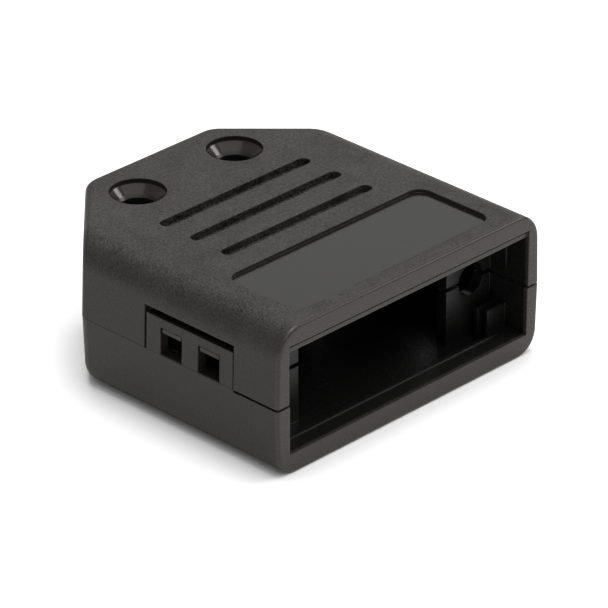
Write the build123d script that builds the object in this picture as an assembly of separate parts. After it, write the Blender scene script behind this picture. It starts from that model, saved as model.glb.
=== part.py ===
# Hood for a 15-way D-sub connector: two moulded half shells that snap and screw together.
# A strap inside the rear holds the cable.
# Millimetres. X runs across the mouth, the mouth faces -Y, +Z is up.
# The origin lies under the middle of the body, on the plane that the bottom rests on.

import os

from build123d import *

# Connector that the mouth takes
flange_width = 39.14
flange_height = 12.55
flange_side_clearance = 0.45
flange_height_clearance = 0.22
flange_screw_inset = 2.91
jackscrew_radius = 1.75
jackscrew_clearance = 0.35
jackscrew_exit_clearance = 0.75

# Walls and lips
side_wall = 1.9
end_wall = 1.8
floor_thickness = 1.7
roof_thickness = 1.7
bottom_lip = 2.6
lip_depth = 2.5
lip_ridge_height = 0.17
lip_ridge_thickness = 0.6
top_lip_step_height = 0.9
top_lip_step_depth = 0.3
top_lip_groove_height = 0.32
top_lip_groove_depth = 0.55
lower_jamb_extra = 0.1

# Outer form
body_length = 43.8
body_height = 18.7
rear_face_width = 20.76
shoulder_length = 11.79
side_draft = 1.75
top_edge_radius = 3.7
top_end_radius = 1.0
bottom_edge_radius = 3.0
bottom_end_radius = 2.3
rear_corner_radius = 3.5
front_edge_radius = 0.4

# Line between the shells
parting_groove_depth = 0.06
parting_groove_height = 0.04
front_relief = 0.3

# Label recess
label_width = 32.3
label_length = 11.73
label_from_front = 2.36
label_depth = 0.43
label_corner_radius = 1.8

# Grip grooves
groove_count = 3
groove_length = 24.4
groove_width = 1.68
groove_pitch = 5.1
groove_depth = 1.0
last_groove_from_rear = 15.25

# Screws through the upper shell into the lower one
housing_screw_spacing = 16.06
housing_screw_from_rear = 6.92
housing_screw_hole_radius = 2.15
housing_screw_head_radius = 3.45
head_recess_depth = 0.6
sleeve_wall = 1.05
head_sleeve_wall = 1.0
pilot_hole_radius = 1.3
pilot_hole_depth = 6.5

# Side latch
notch_from_front = 7.04
notch_length = 14.5
notch_height = 5.57
tongue_thickness = 1.3
tongue_front_gap = 0.15
tongue_rear_gap = 0.35
tongue_top_gap = 0.92
window_height = 3.5
window_front_margin = 2.26
window_bridge = 2.6
window_rear_margin = 2.64
barb_height = 1.1
barb_setback = 0.18
barb_side_clearance = 0.2
barb_top_clearance = 0.1
finger_thickness = 1.1
finger_clearance = 0.3

# Guide walls and flange pockets
guide_wall_depth = 6.05
guide_wall_thickness = 1.5
guide_wall_reach = 7.6
guide_wall_gap = 0.48
pocket_height = 4.0
pocket_plate_depth = 4.65
pocket_plate_thickness = 0.55
pocket_plate_reach = 3.6
pocket_rib_depth = 3.3
pocket_rib_thickness = 1.0
pocket_rib_reach = 3.15

# Cable outlet and clamp
strap_roof_clearance = 2.305
cable_outlet_clearance = 0.3
outlet_collar_wall = 1.4
outlet_collar_length = 2.0
saddle_from_rear = 14.0
saddle_length = 3.6
strap_thickness = 1.4
strap_ear_thickness = 2.0
clamp_screw_arch_gap = 0.4
clamp_ear_margin = 2.6
clamp_screw_radius = 1.25
clamp_screw_hole_clearance = 0.35
clamp_screw_thread_clearance = 0.05
clamp_screw_head_radius = 2.4
clamp_screw_head_height = 1.6
clamp_screw_length = 7.0
clamp_screw_clear_end = 0.8
clamp_screw_slot_width = 0.7
clamp_screw_slot_depth = 0.8

# Sizes that follow from the ones above
mouth_half_width = flange_width / 2 + flange_side_clearance
mouth_half_height = flange_height / 2 + flange_height_clearance
half_width = mouth_half_width + side_wall
lower_height = bottom_lip + mouth_half_height
upper_height = body_height - lower_height
cable_radius = upper_height - roof_thickness - strap_roof_clearance - strap_thickness
front_y = -body_length / 2
rear_y = body_length / 2
jackscrew_x = flange_width / 2 - flange_screw_inset
jackscrew_hole_radius = jackscrew_radius + jackscrew_clearance
housing_screw_x = housing_screw_spacing / 2
housing_screw_y = rear_y - housing_screw_from_rear
sleeve_radius = housing_screw_hole_radius + sleeve_wall
outlet_radius = cable_radius + cable_outlet_clearance
notch_front_y = front_y + notch_from_front
window_length = (notch_length - window_front_margin - window_bridge - window_rear_margin) / 2
saddle_y = rear_y - saddle_from_rear
clamp_screw_x = cable_radius + strap_thickness + clamp_screw_arch_gap + clamp_screw_head_radius
clamp_thread_radius = clamp_screw_radius + clamp_screw_thread_clearance
past = 1.0
overrun = 8.0
wall_overlap = 0.2


def block(x0, x1, y0, y1, z0, z1):
    """A straight block between six planes."""
    return Pos((x0 + x1) / 2, (y0 + y1) / 2, (z0 + z1) / 2) * Box(x1 - x0, y1 - y0, z1 - z0)


def rod(x, y, z0, z1, radius):
    """An upright cylinder."""
    return Pos(x, y, (z0 + z1) / 2) * Cylinder(radius, z1 - z0)


def rod_along_y(x, z, y0, y1, radius):
    """A cylinder that lies along Y."""
    return Pos(x, (y0 + y1) / 2, z) * Rot(90, 0, 0) * Cylinder(radius, y1 - y0)


def both_sides(solid):
    """The solid and its mirror image across the middle of the mouth."""
    return solid + mirror(solid, about=Plane.YZ)


def plan_outline(side_inset, end_inset):
    """The body seen from above on the parting plane. It runs past the front, where it is cut later."""
    rear_half = rear_face_width / 2
    slope = (half_width - rear_half) / shoulder_length
    shift = end_inset * ((1 + slope ** 2) ** 0.5 - slope)
    side_x = half_width - side_inset
    rear_x = rear_half - shift
    rear = rear_y - end_inset
    shoulder_y = rear - (side_x - rear_x) / slope
    start = front_y - overrun
    right = [(side_x, start), (side_x, shoulder_y), (rear_x, rear)]
    left = [(-x, y) for x, y in reversed(right)]
    outline = make_face(Polyline(*right, *left, close=True))
    corners = outline.vertices().sort_by(Axis.Y)[-2:]
    return fillet(corners, rear_corner_radius)


def outer_half(height, long_radius, end_radius):
    """One half of the solid body, grown up from the parting plane with draft and rounded edges."""
    body = extrude(plan_outline(0, 0), height, taper=side_draft)
    top = body.faces().sort_by(Axis.Z)[-1]
    long_edges = top.edges().filter_by(lambda edge: abs(edge.tangent_at(0.5).Y) > 0.99)
    body = fillet(long_edges, long_radius)
    top = body.faces().sort_by(Axis.Z)[-1]
    rear_edge = top.edges().sort_by(Axis.Y)[-1]
    body = fillet(rear_edge, end_radius)
    wide = half_width + past
    body -= block(-wide, wide, front_y - overrun - past, front_y, -past, height + past)
    front = body.faces().sort_by(Axis.Y)[0]
    outline = front.edges().filter_by(lambda edge: edge.center().Z > 0.01)
    return fillet(outline, front_edge_radius)


def inner_half(height, skin):
    """The hollow of one half, behind the lip of the mouth."""
    hollow = extrude(plan_outline(side_wall, end_wall), height - skin, taper=side_draft)
    wide = half_width
    return hollow - block(-wide, wide, front_y - overrun - past, front_y + lip_depth, -past, height)


def guide_wall(height, skin):
    """Walls behind the flange pockets. Each holds one half of a jackscrew hole."""
    y0 = front_y + guide_wall_depth
    y1 = y0 + guide_wall_thickness
    x0 = mouth_half_width - guide_wall_reach
    x1 = mouth_half_width + wall_overlap
    wall = block(x0, x1, y0, y1, guide_wall_gap / 2, height - skin + wall_overlap)
    wall -= rod_along_y(jackscrew_x, 0, y0 - past, y1 + past, jackscrew_hole_radius)
    return both_sides(wall)


def flange_pocket(height, skin):
    """A thin plate and a round-ended rib in front of it, at each end of the mouth."""
    x1 = mouth_half_width + wall_overlap
    z0 = height - skin - pocket_height
    z1 = height - skin + wall_overlap
    plate_x = mouth_half_width - pocket_plate_reach
    plate_y = front_y + pocket_plate_depth
    pocket = block(plate_x, x1, plate_y, plate_y + pocket_plate_thickness, z0, z1)
    round_radius = pocket_rib_thickness / 2
    rib_x = mouth_half_width - pocket_rib_reach + round_radius
    rib_y = front_y + pocket_rib_depth
    pocket += block(rib_x, x1, rib_y, rib_y + pocket_rib_thickness, z0, z1)
    pocket += rod(rib_x, rib_y + round_radius, z0, z1, round_radius)
    return both_sides(pocket)


def half_shell(height, skin, long_radius, end_radius):
    """What both shells share, grown up from the parting plane."""
    shell = outer_half(height, long_radius, end_radius) - inner_half(height, skin)
    shell += guide_wall(height, skin)
    shell += flange_pocket(height, skin)
    collar_y = rear_y - end_wall - outlet_collar_length
    collar = rod_along_y(0, 0, collar_y, rear_y - end_wall / 2, outlet_radius + outlet_collar_wall)
    shell += collar & block(-half_width, half_width, front_y, rear_y, 0, height)
    shell -= rod_along_y(0, 0, collar_y - past, rear_y + past, outlet_radius)
    exit_radius = jackscrew_radius + jackscrew_exit_clearance
    exit_y = rear_y - shoulder_length - end_wall
    shell -= both_sides(rod_along_y(jackscrew_x, 0, exit_y, rear_y + past, exit_radius))
    return shell


def housing_screw_hole(height):
    """A round recess and a cone for a countersunk head, with a clearance hole below."""
    cone_depth = housing_screw_head_radius - housing_screw_hole_radius
    cone_top = height - head_recess_depth
    hole = rod(0, 0, -past, height + past, housing_screw_hole_radius)
    hole += rod(0, 0, cone_top, height + past, housing_screw_head_radius)
    cone = Cone(housing_screw_hole_radius, housing_screw_head_radius, cone_depth)
    return hole + Pos(0, 0, cone_top - cone_depth / 2) * cone


def housing_screw_sleeve(height):
    """A sleeve from the roof down to the lower shell's boss, wider round the cone."""
    cone_depth = housing_screw_head_radius - housing_screw_hole_radius
    head_bottom = height - head_recess_depth - cone_depth - sleeve_wall
    middle = height - roof_thickness / 2
    sleeve = rod(0, 0, 0, middle, sleeve_radius)
    return sleeve + rod(0, 0, head_bottom, middle, housing_screw_head_radius + head_sleeve_wall)


def label_recess(height):
    """The shallow bare panel for a label."""
    panel = extrude(RectangleRounded(label_width, label_length, label_corner_radius), label_depth + past)
    return Pos(0, front_y + label_from_front + label_length / 2, height - label_depth) * panel


def grip_grooves(height):
    """Round-ended grooves across the roof, in front of the screws."""
    groove = extrude(SlotOverall(groove_length, groove_width), groove_depth + past)
    last_y = rear_y - last_groove_from_rear
    places = [Pos(0, last_y - i * groove_pitch, height - groove_depth) for i in range(groove_count)]
    return [place * groove for place in places]


def window_span(index):
    """Where a window of the tongue begins and ends along Y."""
    start = notch_front_y + window_front_margin + index * (window_length + window_bridge)
    return start, start + window_length


def latch_notch():
    """The opening in one side of the upper shell."""
    x0 = mouth_half_width - wall_overlap
    y1 = notch_front_y + notch_length
    return block(x0, half_width + past, notch_front_y, y1, -past, notch_height)


def latch_finger(index):
    """A finger behind the tongue. Its barb catches the upper edge of a window."""
    y0, y1 = window_span(index)
    outer = half_width - tongue_thickness - finger_clearance
    inner = outer - finger_thickness
    nose = half_width - barb_setback
    top = upper_height - roof_thickness + wall_overlap
    barb_top = window_height - barb_top_clearance
    bottom = barb_top - barb_height
    nose_bottom = barb_top - barb_height / 2
    right_side = [(outer, top), (outer, barb_top), (nose, barb_top), (nose, nose_bottom), (outer, bottom)]
    section = make_face(Polyline((inner, bottom), (inner, top), *right_side, close=True))
    length = y1 - y0 - 2 * barb_side_clearance
    finger = extrude(Plane.XZ * section, -length)
    return Pos(0, y0 + barb_side_clearance, 0) * finger


def latch_tongue():
    """A tongue of the lower shell, flush with the upper shell's side, with two windows."""
    y0 = notch_front_y + tongue_front_gap
    y1 = notch_front_y + notch_length - tongue_rear_gap
    x0 = half_width - tongue_thickness
    top = notch_height - tongue_top_gap
    side = outer_half(upper_height, top_edge_radius, top_end_radius)
    tongue = block(x0, half_width + past, y0, y1, 0, top) & side
    for index in range(2):
        w0, w1 = window_span(index)
        tongue -= block(x0 - past, half_width + past, w0, w1, 0, window_height)
    return tongue


def make_upper_shell():
    """Top half, with its mouth, recess, grooves, screw holes and latch openings."""
    shell = half_shell(upper_height, roof_thickness, top_edge_radius, top_end_radius)
    for side in (-1, 1):
        place = Pos(side * housing_screw_x, housing_screw_y, 0)
        shell += place * housing_screw_sleeve(upper_height)
        shell -= place * housing_screw_hole(upper_height)
    lip_y = front_y + lip_depth + past
    shell -= block(-mouth_half_width, mouth_half_width, front_y - past, lip_y, -past, mouth_half_height)
    step_y = front_y + top_lip_step_depth
    step_z = mouth_half_height + top_lip_step_height
    shell -= block(-mouth_half_width, mouth_half_width, front_y - past, step_y, -past, step_z)
    groove_y = front_y + top_lip_groove_depth
    groove_z = step_z - top_lip_groove_height
    shell -= block(-mouth_half_width, mouth_half_width, front_y - past, groove_y, groove_z, step_z)
    shell -= label_recess(upper_height)
    shell -= grip_grooves(upper_height)
    shell -= both_sides(latch_notch())
    for index in range(2):
        shell += both_sides(latch_finger(index))
    return Pos(0, 0, lower_height) * shell


def screw_boss(x, y, radius, hole_radius, hole_depth):
    """A round boss on the lower shell's floor with a hole for a screw's thread."""
    boss = rod(x, y, 0, lower_height - floor_thickness / 2, radius)
    return boss - rod(x, y, -past, hole_depth, hole_radius)


def cable_saddle():
    """A bridge across the lower shell's floor with a half-round channel and two screw holes."""
    reach = clamp_screw_x + clamp_ear_margin
    y0 = saddle_y - saddle_length / 2
    y1 = saddle_y + saddle_length / 2
    saddle = block(-reach, reach, y0, y1, 0, lower_height - floor_thickness / 2)
    saddle -= rod_along_y(0, 0, y0 - past, y1 + past, cable_radius)
    thread_depth = clamp_screw_length - strap_ear_thickness + clamp_screw_clear_end
    hole = rod(clamp_screw_x, saddle_y, -past, thread_depth, clamp_thread_radius)
    return saddle - both_sides(hole)


def rib_web():
    """Low webs that carry the bottom lip back to the ribs of the flange pockets."""
    x0 = mouth_half_width - pocket_rib_reach + pocket_rib_thickness / 2
    y0 = front_y + lip_depth - wall_overlap
    y1 = front_y + pocket_rib_depth + wall_overlap
    z1 = lower_height - floor_thickness / 2
    return both_sides(block(x0, mouth_half_width, y0, y1, mouth_half_height, z1))


def lip_ridge():
    """A low ridge along the back of the bottom lip, between the webs."""
    x = mouth_half_width - pocket_rib_reach + pocket_rib_thickness / 2 + wall_overlap
    y0 = front_y + lip_depth
    z0 = mouth_half_height - lip_ridge_height
    return block(-x, x, y0, y0 + lip_ridge_thickness, z0, lower_height - floor_thickness / 2)


def make_lower_shell():
    """Bottom half, with its lip, tongues, flange pockets, screw bosses and saddle."""
    shell = half_shell(lower_height, floor_thickness, bottom_edge_radius, bottom_end_radius)
    for side in (-1, 1):
        x = side * housing_screw_x
        shell += screw_boss(x, housing_screw_y, sleeve_radius, pilot_hole_radius, pilot_hole_depth)
        shell -= rod(x, housing_screw_y, -past, pilot_hole_depth, pilot_hole_radius)
    shell += cable_saddle()
    shell += rib_web()
    opening = mouth_half_width - lower_jamb_extra
    lip_y = front_y + lip_depth
    shell -= block(-opening, opening, front_y - past, lip_y + past, -past, mouth_half_height)
    shell += lip_ridge()
    wide = half_width + past
    shell -= block(-wide, wide, front_y - past, notch_front_y, -past, front_relief) - block(
        -opening, opening, front_y - past, notch_front_y + past, -past, front_relief)
    shell = mirror(shell, about=Plane.XY)
    shell += both_sides(latch_tongue())
    ring = plan_outline(0, 0) - plan_outline(parting_groove_depth, parting_groove_depth)
    shell -= extrude(ring, -parting_groove_height)
    return Pos(0, 0, lower_height) * shell


def make_cable_clamp():
    """The strap over the cable, with a flat ear at each end."""
    reach = clamp_screw_x + clamp_ear_margin
    y0 = saddle_y - saddle_length / 2
    y1 = saddle_y + saddle_length / 2
    strap = block(-reach, reach, y0, y1, 0, strap_ear_thickness)
    arch = rod_along_y(0, 0, y0, y1, cable_radius + strap_thickness)
    strap += arch & block(-reach, reach, y0, y1, 0, upper_height)
    strap -= rod_along_y(0, 0, y0 - past, y1 + past, cable_radius)
    ear_hole_radius = clamp_screw_radius + clamp_screw_hole_clearance
    ear_hole = rod(clamp_screw_x, saddle_y, -past, strap_ear_thickness + past, ear_hole_radius)
    strap -= both_sides(ear_hole)
    return Pos(0, 0, lower_height) * strap


def make_clamp_screw(side):
    """A slotted pan-head screw through one ear of the strap."""
    head_z = strap_ear_thickness
    head = rod(0, 0, head_z, head_z + clamp_screw_head_height, clamp_screw_head_radius)
    head = fillet(head.edges().sort_by(Axis.Z)[-1], clamp_screw_head_height / 3)
    slot_z = head_z + clamp_screw_head_height - clamp_screw_slot_depth
    slot_half = clamp_screw_slot_width / 2
    reach = clamp_screw_head_radius + past
    head -= block(-reach, reach, -slot_half, slot_half, slot_z, slot_z + past + clamp_screw_slot_depth)
    screw = head + rod(0, 0, head_z - clamp_screw_length, head_z, clamp_screw_radius)
    return Pos(side * clamp_screw_x, saddle_y, lower_height) * screw


parts = {
    "upper_shell": make_upper_shell(),
    "lower_shell": make_lower_shell(),
    "cable_clamp": make_cable_clamp(),
    "clamp_screw_left": make_clamp_screw(-1),
    "clamp_screw_right": make_clamp_screw(1),
}

os.makedirs("parts", exist_ok=True)
for name, shape in parts.items():
    export_step(shape, f"parts/{name}.step")
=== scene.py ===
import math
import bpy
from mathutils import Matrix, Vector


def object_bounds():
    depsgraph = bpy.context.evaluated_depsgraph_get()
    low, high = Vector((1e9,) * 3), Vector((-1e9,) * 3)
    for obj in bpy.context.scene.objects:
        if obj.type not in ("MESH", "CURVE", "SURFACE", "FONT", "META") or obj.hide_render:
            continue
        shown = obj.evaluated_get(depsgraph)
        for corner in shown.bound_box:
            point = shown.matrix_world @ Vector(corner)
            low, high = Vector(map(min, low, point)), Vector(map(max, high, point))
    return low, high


bl_info = {
    "name": "Connector hood studio",
    "version": (1, 0, 0),
    "blender": (4, 5, 0),
    "location": "View3D > Sidebar > Connector Hood",
    "description": "Finishes the shells, strap and screws of a connector hood and sets its studio",
    "category": "Object",
}

import bpy
from bpy.props import FloatProperty, FloatVectorProperty, PointerProperty
from mathutils import Vector

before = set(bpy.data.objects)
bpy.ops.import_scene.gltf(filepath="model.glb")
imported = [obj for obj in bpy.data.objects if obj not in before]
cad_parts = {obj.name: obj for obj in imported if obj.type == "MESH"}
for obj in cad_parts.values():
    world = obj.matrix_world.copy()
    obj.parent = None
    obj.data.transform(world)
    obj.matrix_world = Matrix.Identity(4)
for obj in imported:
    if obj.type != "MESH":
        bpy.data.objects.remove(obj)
cad_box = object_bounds()

FRONT_Y = cad_box[0][1]
REAR_Y = cad_box[1][1]
TOP_Z = cad_box[1][2]
SHELL_NODES = ("upper_shell", "lower_shell")
STRAP_NODES = ("cable_clamp",)
SCREW_NODES = ("clamp_screw_left", "clamp_screw_right")

# Finish masks, in metres: how softly they end, how far they reach past the faces they cover
# or into a wall, how far they stay below the top, and a reach well clear of the object
FINE_EDGE = 0.00005
RIM_EDGE = 0.0001
FACE_MARGIN = 0.0001
WALL_MARGIN = 0.00015
TOP_SKIN = 0.00005
FAR_OFF = 0.1

# Spark grain: fine pits, with broad faint patches over them
PIT_DETAIL = 2.5
PIT_ROUGHNESS = 0.6
PIT_FLOOR = 0.3
PIT_CREST = 0.7
PATCH_SCALE = 0.08
PATCH_DETAIL = 3.0
PATCH_SHARE = 0.35
NOISE_MIDDLE = 0.5

# How the grain shows on the plastic. The smooth faces keep a trace of it.
SMOOTH_SPECKLE = 0.12
SMOOTH_RELIEF = 0.06
ROUGHNESS_SPECKLE = 0.3
SIDE_UPRIGHT = 0.75
TOP_UPRIGHT = 0.98
EDGE_SAMPLES = 6

# Plated steel, with its lines drawn out along the strap and round the screws
STRAP_STRETCH = (0.05, 1.0, 1.0)
SCREW_STRETCH = (0.3, 0.3, 1.0)
STEEL_SPECKLE = 0.3
STEEL_WEAR = 0.2
STEEL_RELIEF = 0.000002

# Light over the curves of the solids
JOIN_DISTANCE = 0.000001
CRISP_ANGLE = math.radians(32.0)
LARGE_FACE_WEIGHT = 100

# Pale paper floor
PAPER_GRAIN = 0.004
PAPER_SPECKLE = 0.01
PAPER_ROUGHNESS = 0.9
PAPER_GLOSS = 0.1

# Soft lights: name, place, width and depth, and the setting that holds the power
LIGHTS = (
    ("Top light", (0.12, 0.12, 1.3), (0.7, 0.7), "top_power"),
    ("Fill light", (0.0, -0.35, 1.3), (1.6, 1.6), "fill_power"),
    ("Rear light", (0.76, 0.74, 0.565), (0.8, 0.7), "rear_power"),
    ("Key light", (0.75, -0.38, 0.54), (0.4, 0.24), "key_power"),
)
SENSOR_WIDTH = 36.0
NEAREST_SEEN = 0.01
FARTHEST_SEEN = 50.0


class HoodPlasticSettings(bpy.types.PropertyGroup):
    textured_colour: FloatVectorProperty(
        name="Textured Colour", description="Colour of the spark-textured outside",
        subtype="COLOR", size=3, min=0.0, max=1.0, default=(0.0199, 0.0181, 0.0157))
    label_colour: FloatVectorProperty(
        name="Label Colour", description="Colour of the bare label floor",
        subtype="COLOR", size=3, min=0.0, max=1.0, default=(0.0072, 0.0062, 0.0052))
    rim_colour: FloatVectorProperty(
        name="Rim Colour", description="Colour of the flat rim round the mouth",
        subtype="COLOR", size=3, min=0.0, max=1.0, default=(0.031, 0.0262, 0.0245))
    recess_colour: FloatVectorProperty(
        name="Screw Recess Colour", description="Colour of the polished screw recesses",
        subtype="COLOR", size=3, min=0.0, max=1.0, default=(0.022, 0.0165, 0.015))
    # Painted shade: the inside gets a darker copy of the plastic's colour
    inside_shade_colour: FloatVectorProperty(
        name="Inside Colour", description="Colour of the polished inside, darkened as painted shade",
        subtype="COLOR", size=3, min=0.0, max=1.0, default=(0.0078, 0.0076, 0.0072))
    # Painted shade: the walls inside the latch openings get a darker copy of the plastic's colour
    latch_shade_colour: FloatVectorProperty(
        name="Latch Colour", description="Painted shade colour on the walls inside the latch openings",
        subtype="COLOR", size=3, min=0.0, max=1.0, default=(0.014, 0.0115, 0.0105))
    textured_roughness: FloatProperty(
        name="Textured Roughness", description="Roughness of the spark-textured outside",
        min=0.0, max=1.0, subtype="FACTOR", default=0.52)
    label_roughness: FloatProperty(
        name="Label Roughness", description="Roughness of the bare label floor",
        min=0.0, max=1.0, subtype="FACTOR", default=0.18)
    rim_roughness: FloatProperty(
        name="Rim Roughness", description="Roughness of the rim round the mouth",
        min=0.0, max=1.0, subtype="FACTOR", default=0.27)
    cone_roughness: FloatProperty(
        name="Screw Recess Roughness", description="Roughness inside the two screw recesses",
        min=0.0, max=1.0, subtype="FACTOR", default=0.13)
    inside_roughness: FloatProperty(
        name="Inside Roughness", description="Roughness of the moulded inside",
        min=0.0, max=1.0, subtype="FACTOR", default=0.32)
    latch_roughness: FloatProperty(
        name="Latch Roughness", description="Roughness of the walls inside the latch openings",
        min=0.0, max=1.0, subtype="FACTOR", default=0.12)
    gloss: FloatProperty(
        name="Gloss", description="Strength of the plastic's mirror light",
        min=0.0, max=1.0, subtype="FACTOR", default=0.25)
    grain_size: FloatProperty(
        name="Grain Size", description="Width of one pit of the spark texture",
        min=0.00002, max=0.002, unit="LENGTH", precision=5, default=0.00027)
    grain_depth: FloatProperty(
        name="Grain Depth", description="Depth of the spark texture",
        min=0.0, max=0.0002, unit="LENGTH", precision=6, default=0.000018)
    side_speckle: FloatProperty(
        name="Side Speckle", description="How strongly the texture mottles the sides",
        min=0.0, max=20.0, default=2.2)
    top_speckle: FloatProperty(
        name="Top Speckle", description="How strongly the texture mottles the top",
        min=0.0, max=20.0, default=5.5)
    # Grain in the grip grooves, made strong enough to paint bright glints
    groove_speckle_and_glints: FloatProperty(
        name="Groove Speckle", description="How strongly the texture mottles the grip grooves and paints glints in them",
        min=0.0, max=40.0, default=8.0)
    edge_radius: FloatProperty(
        name="Edge Radius", description="How softly the light turns round the moulded edges",
        min=0.0, max=0.001, unit="LENGTH", precision=5, default=0.00018)
    rim_depth: FloatProperty(
        name="Rim Depth", description="How far back the smooth rim reaches",
        min=0.0, max=0.003, unit="LENGTH", precision=5, default=0.0005)
    label_half_width: FloatProperty(
        name="Label Half Width", description="Half the width of the label recess",
        min=0.0, max=0.03, unit="LENGTH", precision=5, default=0.0162)
    label_depth: FloatProperty(
        name="Label Depth", description="Depth of the label recess",
        min=0.0, max=0.003, unit="LENGTH", precision=5, default=0.00043)
    label_front: FloatProperty(
        name="Label Front", description="From the front face to the label recess",
        min=0.0, max=0.02, unit="LENGTH", precision=5, default=0.0023)
    label_back: FloatProperty(
        name="Label Back", description="From the front face to the rear of the label recess",
        min=0.0, max=0.03, unit="LENGTH", precision=5, default=0.01412)
    groove_half_length: FloatProperty(
        name="Groove Half Length", description="Half the length of a grip groove",
        min=0.0, max=0.03, unit="LENGTH", precision=5, default=0.01225)
    groove_depth: FloatProperty(
        name="Groove Depth", description="Depth of the grip grooves",
        min=0.0, max=0.003, unit="LENGTH", precision=5, default=0.001)
    groove_near: FloatProperty(
        name="Groove Near", description="From the rear face to the first grip groove",
        min=0.0, max=0.03, unit="LENGTH", precision=5, default=0.0143)
    groove_far: FloatProperty(
        name="Groove Far", description="From the rear face to the front of the last grip groove",
        min=0.0, max=0.04, unit="LENGTH", precision=5, default=0.0264)
    screw_x: FloatProperty(
        name="Screw Offset", description="From the middle to each screw recess",
        min=0.0, max=0.02, unit="LENGTH", precision=5, default=0.00803)
    screw_from_rear: FloatProperty(
        name="Screw From Rear", description="From the rear face to the screw recesses",
        min=0.0, max=0.02, unit="LENGTH", precision=5, default=0.00692)
    screw_recess_radius: FloatProperty(
        name="Screw Recess Radius", description="Radius of a screw recess at the top",
        min=0.0, max=0.01, unit="LENGTH", precision=5, default=0.0035)
    wall: FloatProperty(
        name="Wall", description="Thickness of the moulded walls",
        min=0.0005, max=0.005, unit="LENGTH", precision=5, default=0.0017)
    rear_half_width: FloatProperty(
        name="Rear Half Width", description="Half the width of the rear face",
        min=0.0, max=0.05, unit="LENGTH", precision=5, default=0.01038)
    shoulder_length: FloatProperty(
        name="Shoulder Length", description="How far forward the slanted shoulders reach",
        min=0.0001, max=0.05, unit="LENGTH", precision=5, default=0.01179)
    latch_front: FloatProperty(
        name="Latch Front", description="From the front face to the latch notch",
        min=0.0, max=0.03, unit="LENGTH", precision=5, default=0.00704)
    latch_back: FloatProperty(
        name="Latch Back", description="From the front face to the rear of the latch notch",
        min=0.0, max=0.03, unit="LENGTH", precision=5, default=0.02154)
    latch_bottom: FloatProperty(
        name="Latch Bottom", description="Height of the line between the shells",
        min=0.0, max=0.02, unit="LENGTH", precision=5, default=0.009095)
    latch_top: FloatProperty(
        name="Latch Top", description="Height of the top of the latch notch",
        min=0.0, max=0.02, unit="LENGTH", precision=5, default=0.01467)
    # Past this skin the walls of the latch openings get painted shade
    latch_skin: FloatProperty(
        name="Latch Skin", description="How deep the texture reaches into the latch openings",
        min=0.0, max=0.002, unit="LENGTH", precision=5, default=0.00014)


class HoodSteelSettings(bpy.types.PropertyGroup):
    strap_colour: FloatVectorProperty(
        name="Strap Colour", description="Colour of the plated strap",
        subtype="COLOR", size=3, min=0.0, max=1.0, default=(0.56, 0.56, 0.55))
    screw_colour: FloatVectorProperty(
        name="Screw Colour", description="Colour of the plated screws",
        subtype="COLOR", size=3, min=0.0, max=1.0, default=(0.62, 0.61, 0.58))
    strap_roughness: FloatProperty(
        name="Strap Roughness", description="Roughness of the rolled strap",
        min=0.0, max=1.0, subtype="FACTOR", default=0.34)
    screw_roughness: FloatProperty(
        name="Screw Roughness", description="Roughness of the turned screws",
        min=0.0, max=1.0, subtype="FACTOR", default=0.26)
    line_width: FloatProperty(
        name="Line Width", description="Width of one rolling or turning line",
        min=0.00001, max=0.001, unit="LENGTH", precision=5, default=0.00006)


class HoodStageSettings(bpy.types.PropertyGroup):
    floor_size: FloatProperty(
        name="Floor Size", description="Side of the pale floor",
        min=0.5, max=20.0, unit="LENGTH", default=6.0)
    floor_colour: FloatVectorProperty(
        name="Floor Colour", description="Colour of the pale floor",
        subtype="COLOR", size=3, min=0.0, max=1.0, default=(0.9, 0.9, 0.9))
    sky_strength: FloatProperty(
        name="Room Light", description="Strength of the white room round the object",
        min=0.0, max=10.0, default=0.39)
    top_power: FloatProperty(
        name="Top Light", description="Power of the soft light overhead",
        min=0.0, max=200.0, unit="POWER", default=11.5)
    fill_power: FloatProperty(
        name="Fill Light", description="Power of the largest soft light, overhead before the mouth",
        min=0.0, max=200.0, unit="POWER", default=11.0)
    rear_power: FloatProperty(
        name="Rear Light", description="Power of the soft light behind the object on the right",
        min=0.0, max=200.0, unit="POWER", default=1.3)
    key_power: FloatProperty(
        name="Key Light",
        description="Power of the smaller soft light before the mouth on the right",
        min=0.0, max=200.0, unit="POWER", default=3.0)
    camera_azimuth: FloatProperty(
        name="Camera Azimuth", description="Direction the camera looks, turned from +Y to +X",
        min=0.0, max=math.tau, unit="ROTATION", default=math.radians(45.571))
    camera_elevation: FloatProperty(
        name="Camera Elevation", description="Height of the camera above the horizon",
        min=0.0, max=math.pi / 2, unit="ROTATION", default=math.radians(28.109))
    camera_distance: FloatProperty(
        name="Camera Distance", description="From the camera to the plane through the mouth's foot",
        min=0.1, max=5.0, unit="LENGTH", precision=5, default=0.543719)
    camera_right: FloatProperty(
        name="Camera Right", description="Sideways place of the camera",
        min=-0.1, max=0.1, unit="LENGTH", precision=6, default=-0.012371)
    camera_up: FloatProperty(
        name="Camera Up", description="Upward place of the camera in its own frame",
        min=-0.1, max=0.1, unit="LENGTH", precision=6, default=0.012678)
    camera_lens: FloatProperty(
        name="Camera Lens", description="Focal length in millimetres on a 36 mm sensor",
        min=20.0, max=600.0, default=277.51)


def add_socket(group, name, kind, way, default=None):
    """Adds one named socket to a node group."""
    socket = group.interface.new_socket(name=name, in_out=way, socket_type=kind)
    if default is not None:
        socket.default_value = default


def new_group(name, inputs, outputs):
    """A shader node group with its sockets, and its input and output nodes."""
    group = bpy.data.node_groups.new(name, "ShaderNodeTree")
    for socket_name, kind, *default in inputs:
        add_socket(group, socket_name, kind, "INPUT", *default)
    for socket_name, kind in outputs:
        add_socket(group, socket_name, kind, "OUTPUT")
    return group, group.nodes.new("NodeGroupInput"), group.nodes.new("NodeGroupOutput")


def feed(tree, socket, value):
    """Links a socket into another one, or sets a plain value there."""
    if isinstance(value, bpy.types.NodeSocket):
        tree.links.new(value, socket)
    else:
        socket.default_value = value


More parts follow.
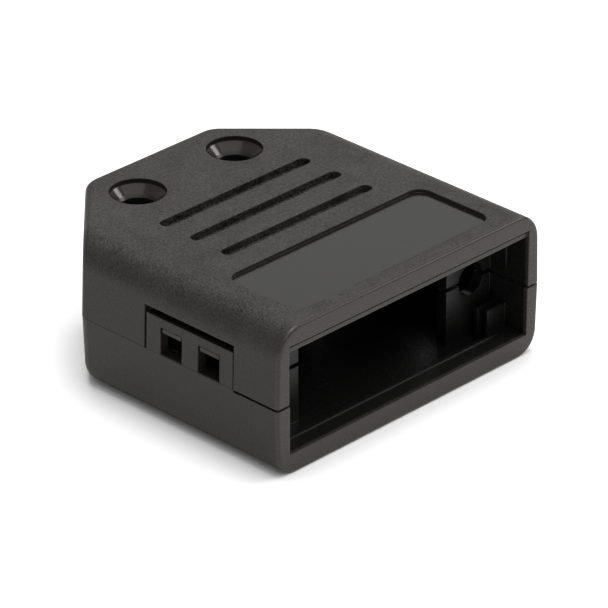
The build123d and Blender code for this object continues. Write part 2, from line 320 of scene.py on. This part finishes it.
def maths(tree, operation, first, second=0.0, clamp=False):
    """A Math node's result."""
    node = tree.nodes.new("ShaderNodeMath")
    node.operation = operation
    node.use_clamp = clamp
    feed(tree, node.inputs[0], first)
    feed(tree, node.inputs[1], second)
    return node.outputs[0]


def ramp(tree, value, low, high):
    """0 below low, 1 above high, smooth between."""
    node = tree.nodes.new("ShaderNodeMapRange")
    node.interpolation_type = "SMOOTHSTEP"
    feed(tree, node.inputs["Value"], value)
    feed(tree, node.inputs["From Min"], low)
    feed(tree, node.inputs["From Max"], high)
    return node.outputs["Result"]


def blend_colour(tree, factor, first, second, mode="MIX"):
    """A colour mix's result."""
    node = tree.nodes.new("ShaderNodeMix")
    node.data_type = "RGBA"
    node.blend_type = mode
    feed(tree, node.inputs["Factor"], factor)
    feed(tree, node.inputs[6], first)
    feed(tree, node.inputs[7], second)
    return node.outputs[2]


def blend_value(tree, factor, first, second):
    """A number mix's result."""
    node = tree.nodes.new("ShaderNodeMix")
    node.data_type = "FLOAT"
    feed(tree, node.inputs["Factor"], factor)
    feed(tree, node.inputs[2], first)
    feed(tree, node.inputs[3], second)
    return node.outputs[0]


def split(tree, vector):
    """The three parts of a vector."""
    node = tree.nodes.new("ShaderNodeSeparateXYZ")
    feed(tree, node.inputs[0], vector)
    return node.outputs


def mottle(tree, colour, speckle, strength):
    """A colour made lighter and darker by a speckle."""
    shade = maths(tree, "ADD", 1.0, maths(tree, "MULTIPLY", speckle, strength))
    tone = tree.nodes.new("ShaderNodeCombineColor")
    for channel in range(3):
        feed(tree, tone.inputs[channel], shade)
    return blend_colour(tree, 1.0, colour, tone.outputs[0], "MULTIPLY")


def rgba(colour):
    """A colour property with an alpha of one."""
    return (*colour, 1.0)


def spark_grain_group():
    """Fine pits of a spark-eroded mould: a height, and a light and dark speckle."""
    name = "Spark Grain"
    if name in bpy.data.node_groups:
        return bpy.data.node_groups[name]
    inputs = [("Vector", "NodeSocketVector"), ("Size", "NodeSocketFloat", 0.0002)]
    outputs = [("Height", "NodeSocketFloat"), ("Speckle", "NodeSocketFloat")]
    group, source, result = new_group(name, inputs, outputs)
    scale = maths(group, "DIVIDE", 1.0, source.outputs["Size"])
    pits = group.nodes.new("ShaderNodeTexNoise")
    feed(group, pits.inputs["Vector"], source.outputs["Vector"])
    feed(group, pits.inputs["Scale"], scale)
    pits.inputs["Detail"].default_value = PIT_DETAIL
    pits.inputs["Roughness"].default_value = PIT_ROUGHNESS
    patches = group.nodes.new("ShaderNodeTexNoise")
    feed(group, patches.inputs["Vector"], source.outputs["Vector"])
    feed(group, patches.inputs["Scale"], maths(group, "MULTIPLY", scale, PATCH_SCALE))
    patches.inputs["Detail"].default_value = PATCH_DETAIL
    height = ramp(group, pits.outputs["Fac"], PIT_FLOOR, PIT_CREST)
    fine = maths(group, "SUBTRACT", pits.outputs["Fac"], NOISE_MIDDLE)
    broad = maths(group, "SUBTRACT", patches.outputs["Fac"], NOISE_MIDDLE)
    speckle = maths(group, "ADD", fine, maths(group, "MULTIPLY", broad, PATCH_SHARE))
    feed(group, result.inputs["Height"], height)
    feed(group, result.inputs["Speckle"], speckle)
    return group


def box_mask_group():
    """1 inside a box between two corners, 0 outside, with a soft edge."""
    name = "Box Mask"
    if name in bpy.data.node_groups:
        return bpy.data.node_groups[name]
    inputs = [("Vector", "NodeSocketVector"), ("Low", "NodeSocketVector"),
              ("High", "NodeSocketVector"), ("Edge", "NodeSocketFloat", RIM_EDGE)]
    group, source, result = new_group(name, inputs, [("Mask", "NodeSocketFloat")])
    place = split(group, source.outputs["Vector"])
    low = split(group, source.outputs["Low"])
    high = split(group, source.outputs["High"])
    mask = None
    for axis in range(3):
        rise = maths(group, "SUBTRACT", place[axis], low[axis])
        fall = maths(group, "SUBTRACT", high[axis], place[axis])
        inside = maths(group, "MINIMUM", rise, fall)
        part = maths(group, "DIVIDE", inside, source.outputs["Edge"], clamp=True)
        mask = part if mask is None else maths(group, "MULTIPLY", mask, part)
    feed(group, result.inputs["Mask"], mask)
    return group


def round_mask_group():
    """1 inside an upright cylinder, 0 outside, with a soft edge."""
    name = "Round Mask"
    if name in bpy.data.node_groups:
        return bpy.data.node_groups[name]
    inputs = [("Vector", "NodeSocketVector"), ("Centre", "NodeSocketVector"),
              ("Radius", "NodeSocketFloat", 0.003), ("Edge", "NodeSocketFloat", RIM_EDGE)]
    group, source, result = new_group(name, inputs, [("Mask", "NodeSocketFloat")])
    offset = group.nodes.new("ShaderNodeVectorMath")
    offset.operation = "SUBTRACT"
    feed(group, offset.inputs[0], source.outputs["Vector"])
    feed(group, offset.inputs[1], source.outputs["Centre"])
    flat = group.nodes.new("ShaderNodeVectorMath")
    flat.operation = "MULTIPLY"
    feed(group, flat.inputs[0], offset.outputs[0])
    flat.inputs[1].default_value = (1.0, 1.0, 0.0)
    length = group.nodes.new("ShaderNodeVectorMath")
    length.operation = "LENGTH"
    feed(group, length.inputs[0], flat.outputs[0])
    inside = maths(group, "SUBTRACT", source.outputs["Radius"], length.outputs["Value"])
    mask = maths(group, "DIVIDE", inside, source.outputs["Edge"], clamp=True)
    feed(group, result.inputs["Mask"], mask)
    return group


def place_group(tree, group, **values):
    """Puts a node group in a material and feeds its inputs by name."""
    node = tree.nodes.new("ShaderNodeGroup")
    node.node_tree = group
    for name, value in values.items():
        feed(tree, node.inputs[name], value)
    return node


def new_material(name):
    """An empty node material with a Principled shader, and its object coordinates."""
    material = bpy.data.materials.new(name)
    material.use_nodes = True
    tree = material.node_tree
    shader = tree.nodes["Principled BSDF"]
    coordinates = tree.nodes.new("ShaderNodeTexCoord")
    return material, tree, shader, coordinates.outputs["Object"]


def box_mask(tree, place, edge, low, high):
    """The mask of a box between two corners."""
    node = place_group(tree, box_mask_group(), Vector=place, Edge=edge, Low=low, High=high)
    return node.outputs[0]


def label_mask(tree, place, settings):
    """The floor of the label recess."""
    floor_z = TOP_Z - settings.label_depth
    low = (-settings.label_half_width, FRONT_Y + settings.label_front, floor_z - FACE_MARGIN)
    high = (settings.label_half_width, FRONT_Y + settings.label_back, floor_z + FACE_MARGIN)
    return box_mask(tree, place, FINE_EDGE, low, high)


def rim_mask(tree, place, settings):
    """The rim round the mouth."""
    low = (-FAR_OFF, FRONT_Y - FAR_OFF, -FAR_OFF)
    high = (FAR_OFF, FRONT_Y + settings.rim_depth, FAR_OFF)
    return box_mask(tree, place, RIM_EDGE, low, high)


def inside_mask(tree, place, settings):
    """The inside, also behind the slanted shoulders: polished, and darkened with painted shade."""
    inner = settings.wall - WALL_MARGIN
    low = (cad_box[0][0] + inner, FRONT_Y + settings.rim_depth, inner)
    high = (cad_box[1][0] - inner, REAR_Y - inner, TOP_Z - inner)
    box = box_mask(tree, place, FINE_EDGE, low, high)
    across, along, _ = split(tree, place)
    slope = (cad_box[1][0] - settings.rear_half_width) / settings.shoulder_length
    from_rear = maths(tree, "SUBTRACT", REAR_Y, along)
    widening = maths(tree, "MULTIPLY", from_rear, slope)
    shoulder = maths(tree, "ADD", widening, settings.rear_half_width)
    margin = maths(tree, "SUBTRACT", shoulder, maths(tree, "ABSOLUTE", across))
    behind = maths(tree, "GREATER_THAN", margin, inner * math.hypot(1.0, slope))
    return maths(tree, "MULTIPLY", box, behind)


def latch_mask(tree, place, settings):
    """The walls inside the latch openings, which get painted shade."""
    low = (cad_box[0][0] + settings.latch_skin, FRONT_Y + settings.latch_front,
           settings.latch_bottom - FACE_MARGIN)
    high = (cad_box[1][0] - settings.latch_skin, FRONT_Y + settings.latch_back,
            settings.latch_top + FACE_MARGIN)
    return box_mask(tree, place, FINE_EDGE, low, high)


def groove_grain_and_glint_mask(tree, place, settings):
    """The grip grooves, below the top, where a stronger speckle paints glints on the grain."""
    low = (-settings.groove_half_length, REAR_Y - settings.groove_far,
           TOP_Z - settings.groove_depth - FACE_MARGIN)
    high = (settings.groove_half_length, REAR_Y - settings.groove_near, TOP_Z - TOP_SKIN)
    return box_mask(tree, place, FINE_EDGE, low, high)


def recess_mask(tree, place, settings):
    """Both screw recesses, below the top."""
    left, right = (
        place_group(
            tree, round_mask_group(), Vector=place, Radius=settings.screw_recess_radius,
            Edge=FINE_EDGE, Centre=(x, REAR_Y - settings.screw_from_rear, 0.0)).outputs[0]
        for x in (-settings.screw_x, settings.screw_x))
    both = maths(tree, "MAXIMUM", left, right)
    below = maths(tree, "LESS_THAN", split(tree, place)[2], TOP_Z - TOP_SKIN)
    return maths(tree, "MULTIPLY", both, below)


def make_shell_plastic(settings):
    """Black plastic: spark texture outside, smooth rim, label floor, screw recesses and inside,
    with painted shade inside and in the latch openings and painted glints in the grip grooves.
    """
    material, tree, shader, place = new_material("Moulded black plastic")
    grain = place_group(tree, spark_grain_group(), Vector=place, Size=settings.grain_size)
    height, speckle = grain.outputs["Height"], grain.outputs["Speckle"]
    # Each layer covers the ones before it. The inside and latch layers are darker as painted shade.
    layers = (
        (label_mask, settings.label_colour, settings.label_roughness),
        (recess_mask, settings.recess_colour, settings.cone_roughness),
        # Inside: darker colour as painted shade, real polish
        (inside_mask, settings.inside_shade_colour, settings.inside_roughness),
        # Latch openings: darker colour as painted shade
        (latch_mask, settings.latch_shade_colour, settings.latch_roughness),
        (rim_mask, settings.rim_colour, settings.rim_roughness),
    )
    smooth = 0.0
    colour = rgba(settings.textured_colour)
    roughness = settings.textured_roughness
    for make_mask, layer_colour, layer_roughness in layers:
        mask = make_mask(tree, place, settings)
        smooth = maths(tree, "MAXIMUM", smooth, mask)
        colour = blend_colour(tree, mask, colour, rgba(layer_colour))
        roughness = blend_value(tree, mask, roughness, layer_roughness)
    textured = maths(tree, "SUBTRACT", 1.0, smooth)
    facing = tree.nodes.new("ShaderNodeNewGeometry")
    upright = split(tree, facing.outputs["Normal"])[2]
    upward = ramp(tree, upright, SIDE_UPRIGHT, TOP_UPRIGHT)
    coarse = blend_value(tree, upward, settings.side_speckle, settings.top_speckle)
    # In the grip grooves a stronger speckle adds painted glints to the grain
    grooves = groove_grain_and_glint_mask(tree, place, settings)
    coarse = blend_value(tree, grooves, coarse, settings.groove_speckle_and_glints)
    strength = blend_value(tree, textured, SMOOTH_SPECKLE, coarse)
    worn = maths(tree, "MULTIPLY", speckle, ROUGHNESS_SPECKLE)
    softened = tree.nodes.new("ShaderNodeBevel")
    softened.samples = EDGE_SAMPLES
    softened.inputs["Radius"].default_value = settings.edge_radius
    relief = blend_value(tree, textured, SMOOTH_RELIEF, 1.0)
    bump = tree.nodes.new("ShaderNodeBump")
    bump.inputs["Distance"].default_value = settings.grain_depth
    feed(tree, bump.inputs["Normal"], softened.outputs[0])
    feed(tree, bump.inputs["Height"], maths(tree, "MULTIPLY", height, relief))
    feed(tree, shader.inputs["Base Color"], mottle(tree, colour, speckle, strength))
    feed(tree, shader.inputs["Roughness"], maths(tree, "ADD", roughness, worn))
    feed(tree, shader.inputs["Normal"], bump.outputs[0])
    shader.inputs["Specular IOR Level"].default_value = settings.gloss
    return material


def make_steel(name, colour, roughness, line_width, stretch):
    """Plated steel with fine lines along one direction."""
    material, tree, shader, place = new_material(name)
    mapping = tree.nodes.new("ShaderNodeMapping")
    mapping.inputs["Scale"].default_value = stretch
    feed(tree, mapping.inputs["Vector"], place)
    lines = place_group(tree, spark_grain_group(), Vector=mapping.outputs[0], Size=line_width)
    speckle = lines.outputs["Speckle"]
    worn = maths(tree, "MULTIPLY", speckle, STEEL_WEAR)
    feed(tree, shader.inputs["Base Color"], mottle(tree, rgba(colour), speckle, STEEL_SPECKLE))
    feed(tree, shader.inputs["Roughness"], maths(tree, "ADD", roughness, worn))
    shader.inputs["Metallic"].default_value = 1.0
    bump = tree.nodes.new("ShaderNodeBump")
    bump.inputs["Distance"].default_value = STEEL_RELIEF
    feed(tree, bump.inputs["Height"], lines.outputs["Height"])
    feed(tree, shader.inputs["Normal"], bump.outputs[0])
    return material


def joined_facets_group():
    """Joins a solid's facets and rounds the light over its curves, keeping true edges crisp."""
    name = "Joined Facets"
    if name in bpy.data.node_groups:
        return bpy.data.node_groups[name]
    group = bpy.data.node_groups.new(name, "GeometryNodeTree")
    add_socket(group, "Geometry", "NodeSocketGeometry", "INPUT")
    add_socket(group, "Geometry", "NodeSocketGeometry", "OUTPUT")
    source = group.nodes.new("NodeGroupInput")
    result = group.nodes.new("NodeGroupOutput")
    merge = group.nodes.new("GeometryNodeMergeByDistance")
    merge.inputs["Distance"].default_value = JOIN_DISTANCE
    group.links.new(source.outputs[0], merge.inputs["Geometry"])
    smooth = group.nodes.new("GeometryNodeSetShadeSmooth")
    smooth.domain = "FACE"
    group.links.new(merge.outputs["Geometry"], smooth.inputs["Geometry"])
    angle = group.nodes.new("GeometryNodeInputMeshEdgeAngle")
    sharp = group.nodes.new("FunctionNodeCompare")
    sharp.data_type = "FLOAT"
    sharp.operation = "GREATER_THAN"
    group.links.new(angle.outputs["Unsigned Angle"], sharp.inputs[0])
    sharp.inputs[1].default_value = CRISP_ANGLE
    crisp = group.nodes.new("GeometryNodeSetShadeSmooth")
    crisp.domain = "EDGE"
    crisp.inputs["Shade Smooth"].default_value = False
    group.links.new(sharp.outputs[0], crisp.inputs["Selection"])
    group.links.new(smooth.outputs["Geometry"], crisp.inputs["Geometry"])
    group.links.new(crisp.outputs["Geometry"], result.inputs[0])
    return group


def finish_nodes(names, material):
    """Gives CAD nodes their material and smooth light over their curves."""
    for name in names:
        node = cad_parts[name]
        node.data.materials.clear()
        node.data.materials.append(material)
        facets = node.modifiers.new("Joined facets", "NODES")
        facets.node_group = joined_facets_group()
        weighted = node.modifiers.new("Weighted light", "WEIGHTED_NORMAL")
        weighted.keep_sharp = True
        weighted.weight = LARGE_FACE_WEIGHT


class HOOD_OT_finish_shells(bpy.types.Operator):
    """Gives both shells their black moulded plastic"""
    bl_idname = "hood.finish_shells"
    bl_label = "Finish Shells"
    bl_options = {"REGISTER", "UNDO"}

    def execute(self, context):
        finish_nodes(SHELL_NODES, make_shell_plastic(context.scene.hood_plastic))
        return {"FINISHED"}


class HOOD_OT_finish_strap(bpy.types.Operator):
    """Gives the cable strap its plated rolled steel"""
    bl_idname = "hood.finish_strap"
    bl_label = "Finish Strap"
    bl_options = {"REGISTER", "UNDO"}

    def execute(self, context):
        steel = context.scene.hood_steel
        finish_nodes(STRAP_NODES, make_steel(
            "Rolled strap steel", steel.strap_colour, steel.strap_roughness,
            steel.line_width, STRAP_STRETCH))
        return {"FINISHED"}


class HOOD_OT_finish_screws(bpy.types.Operator):
    """Gives the strap's screws their turned steel"""
    bl_idname = "hood.finish_screws"
    bl_label = "Finish Screws"
    bl_options = {"REGISTER", "UNDO"}

    def execute(self, context):
        steel = context.scene.hood_steel
        finish_nodes(SCREW_NODES, make_steel(
            "Turned screw steel", steel.screw_colour, steel.screw_roughness,
            steel.line_width, SCREW_STRETCH))
        return {"FINISHED"}


def make_floor_material(colour):
    """Pale matt paper with a very faint grain."""
    material, tree, shader, place = new_material("Pale paper")
    grain = place_group(tree, spark_grain_group(), Vector=place, Size=PAPER_GRAIN)
    paper = mottle(tree, rgba(colour), grain.outputs["Speckle"], PAPER_SPECKLE)
    feed(tree, shader.inputs["Base Color"], paper)
    shader.inputs["Roughness"].default_value = PAPER_ROUGHNESS
    shader.inputs["Specular IOR Level"].default_value = PAPER_GLOSS
    return material


def add_area_light(name, place, aim, size, power):
    """A rectangular soft light at a place, turned towards a point."""
    data = bpy.data.lights.new(name, "AREA")
    data.shape = "RECTANGLE"
    data.size, data.size_y = size
    data.energy = power
    light = bpy.data.objects.new(name, data)
    bpy.context.scene.collection.objects.link(light)
    light.location = place
    light.rotation_euler = (Vector(aim) - Vector(place)).to_track_quat("-Z", "Y").to_euler()


def add_camera(stage):
    """The camera at the photo's angle, placed from the foot of the mouth."""
    azimuth, elevation = stage.camera_azimuth, stage.camera_elevation
    level = math.cos(elevation)
    back = Vector((-math.sin(azimuth) * level, -math.cos(azimuth) * level, math.sin(elevation)))
    right = Vector((math.cos(azimuth), -math.sin(azimuth), 0.0))
    up = back.cross(right)
    data = bpy.data.cameras.new("Camera")
    data.sensor_width = SENSOR_WIDTH
    data.lens = stage.camera_lens
    data.clip_start = NEAREST_SEEN
    data.clip_end = FARTHEST_SEEN
    camera = bpy.data.objects.new("Camera", data)
    bpy.context.scene.collection.objects.link(camera)
    foot = Vector((0.0, FRONT_Y, 0.0))
    sideways = right * stage.camera_right + up * stage.camera_up
    camera.location = foot + sideways + back * stage.camera_distance
    camera.rotation_euler = (math.pi / 2 - elevation, 0.0, -azimuth)
    bpy.context.scene.camera = camera


class HOOD_OT_build_stage(bpy.types.Operator):
    """Sets the pale floor, the soft lights and the camera"""
    bl_idname = "hood.build_stage"
    bl_label = "Build Stage"
    bl_options = {"REGISTER", "UNDO"}

    def execute(self, context):
        stage = context.scene.hood_stage
        bpy.ops.object.select_all(action="DESELECT")
        bpy.ops.mesh.primitive_plane_add(size=stage.floor_size, location=(0.0, 0.0, cad_box[0][2]))
        floor = context.active_object
        floor.name = "floor"
        floor.data.materials.append(make_floor_material(stage.floor_colour))
        world = bpy.data.worlds.new("White room")
        world.use_nodes = True
        background = world.node_tree.nodes["Background"]
        background.inputs["Color"].default_value = (1.0, 1.0, 1.0, 1.0)
        background.inputs["Strength"].default_value = stage.sky_strength
        context.scene.world = world
        middle = (0.0, 0.0, TOP_Z / 2)
        for name, place, size, power in LIGHTS:
            add_area_light(name, place, middle, size, getattr(stage, power))
        add_camera(stage)
        context.scene.view_settings.view_transform = "Standard"
        return {"FINISHED"}


class HOOD_PT_studio(bpy.types.Panel):
    """Lists the steps that finish the hood and its stage"""
    bl_label = "Connector Hood"
    bl_idname = "HOOD_PT_studio"
    bl_space_type = "VIEW_3D"
    bl_region_type = "UI"
    bl_category = "Connector Hood"

    def draw(self, context):
        layout = self.layout
        for title, settings, operators in (
            ("Shells", context.scene.hood_plastic, ("hood.finish_shells",)),
            ("Clamp", context.scene.hood_steel, ("hood.finish_strap", "hood.finish_screws")),
            ("Stage", context.scene.hood_stage, ("hood.build_stage",)),
        ):
            box = layout.box()
            box.label(text=title)
            for name in settings.bl_rna.properties.keys():
                if name not in {"rna_type", "name"}:
                    box.prop(settings, name)
            for operator in operators:
                box.operator(operator)


CLASSES = (
    HoodPlasticSettings,
    HoodSteelSettings,
    HoodStageSettings,
    HOOD_OT_finish_shells,
    HOOD_OT_finish_strap,
    HOOD_OT_finish_screws,
    HOOD_OT_build_stage,
    HOOD_PT_studio,
)


def register():
    """Registers the classes and hangs their settings on the scene."""
    for cls in CLASSES:
        bpy.utils.register_class(cls)
    bpy.types.Scene.hood_plastic = PointerProperty(type=HoodPlasticSettings)
    bpy.types.Scene.hood_steel = PointerProperty(type=HoodSteelSettings)
    bpy.types.Scene.hood_stage = PointerProperty(type=HoodStageSettings)


def unregister():
    """Takes the settings and the classes away again."""
    del bpy.types.Scene.hood_stage
    del bpy.types.Scene.hood_steel
    del bpy.types.Scene.hood_plastic
    for cls in reversed(CLASSES):
        bpy.utils.unregister_class(cls)


def main():
    """Finishes the pieces and builds the stage."""
    register()
    bpy.ops.hood.finish_shells()
    bpy.ops.hood.finish_strap()
    bpy.ops.hood.finish_screws()
    bpy.ops.hood.build_stage()


if __name__ == "__main__":
    main()
